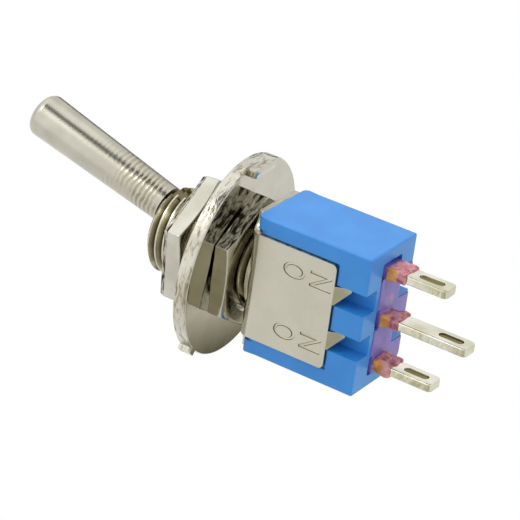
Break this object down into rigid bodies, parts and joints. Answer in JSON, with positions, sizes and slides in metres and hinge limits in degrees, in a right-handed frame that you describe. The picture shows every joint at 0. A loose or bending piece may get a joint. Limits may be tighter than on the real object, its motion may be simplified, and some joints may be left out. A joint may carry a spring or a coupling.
{
  "type": "toggle switch",
  "caption": "Sub-miniature two-way toggle switch with a threaded panel bushing, nuts, keyed washer and solder pins.",
  "frame": {"origin": "on the bushing's axis, at the bracket's top face", "axes": "+Z along the bushing towards the lever, X along the row of pins and the lever's throw, Y across the body; the lever leans to +X at rest"},
  "size_m": [0.0117, 0.0117, 0.0292],
  "materials": {
    "body_plastic": "satin moulded",
    "bracket_plating": "bright nickel plate on pressed sheet",
    "bushing_plating": "nickel plate",
    "lever_plating": "nickel plate over turning marks",
    "pin_steel": "ground",
    "plunger_nylon": "satin moulded",
    "spring_steel": "drawn wire",
    "contact_metal": "rolled strip",
    "contact_silver": "silver",
    "terminal_tin": "tinned",
    "potting_resin": "red potting resin",
    "washer_plating": "bright nickel plate",
    "nut_plating": "nickel plate"
  },
  "bodies": {
    "body": {"housing": "body_plastic", "bracket": "bracket_plating", "bushing": "bushing_plating", "resin_seal": "potting_resin", "terminal_lower": "terminal_tin", "terminal_middle": "terminal_tin", "terminal_upper": "terminal_tin", "fixed_pad_lower": "contact_silver", "fixed_pad_upper": "contact_silver", "keyed_washer": "washer_plating"},
    "lever": {"lever": "lever_plating", "pivot_pin": "pin_steel", "plunger_spring": "spring_steel"},
    "plunger": {"plunger": "plunger_nylon"},
    "rocker": {"rocker": "contact_metal", "rocker_pad_lower": "contact_silver", "rocker_pad_upper": "contact_silver"},
    "rear_nut": {"rear_nut": "nut_plating"},
    "front_nut": {"front_nut": "nut_plating"}
  },
  "joints": [
    {"name": "lever_throw", "type": "hinge", "parent": "body", "child": "lever", "pos_m": [0, 0, 0.0024], "axis": [0, 1, 0], "range_deg": [-30.8, 0]},
    {"name": "plunger_slide", "type": "slide", "parent": "lever", "child": "plunger", "axis": [0.2656, 0, 0.9641], "range_m": [0, 0.0003], "stiffness_N_per_m": 200, "springref_m": -0.0002, "deforming": ["plunger_spring"]},
    {"name": "rocker_tip", "type": "hinge", "parent": "body", "child": "rocker", "pos_m": [0, 0, -0.00371], "axis": [0, 1, 0], "range_deg": [0, 12]},
    {"name": "rear_nut_turn", "type": "hinge", "parent": "body", "child": "rear_nut", "pos_m": [0, 0, 0.00095], "axis": [0, 0, 1], "continuous": true},
    {"name": "front_nut_turn", "type": "hinge", "parent": "body", "child": "front_nut", "pos_m": [0, 0, 0.0041], "axis": [0, 0, 1], "continuous": true}
  ],
  "couplings": [
    {"joint": "rocker_tip", "follows": "lever_throw", "ratio": -0.38961}
  ]
}
